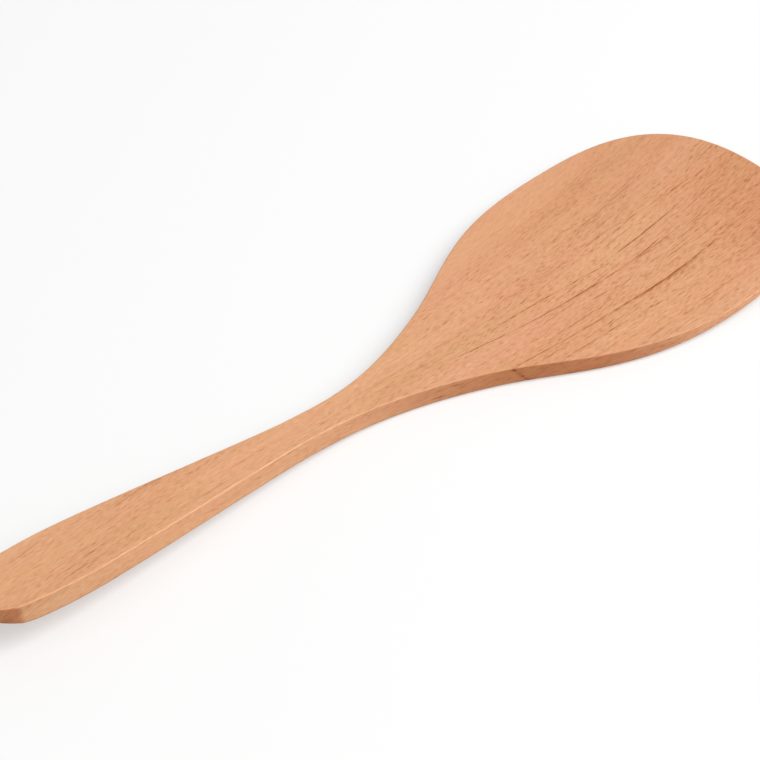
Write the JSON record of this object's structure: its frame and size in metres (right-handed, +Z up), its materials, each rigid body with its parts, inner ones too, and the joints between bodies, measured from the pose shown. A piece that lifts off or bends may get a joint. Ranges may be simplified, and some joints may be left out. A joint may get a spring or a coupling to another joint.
{
  "type": "wooden spatula",
  "caption": "One-piece wooden kitchen spatula with a flat tapered handle, a narrow neck and a wide rounded blade that turns up at the tip.",
  "frame": {"origin": "centre of the bounding box in plan, at the height of the flat belly that the spatula rests on", "axes": "+X along the length towards the blade's tip, +Y across the blade, +Z up, away from the surface it lies on"},
  "size_m": [0.3, 0.096, 0.0178],
  "materials": {
    "beech": "sanded bare beech, satin"
  },
  "bodies": {
    "root": {"spatula": "beech"}
  },
  "joints": []
}
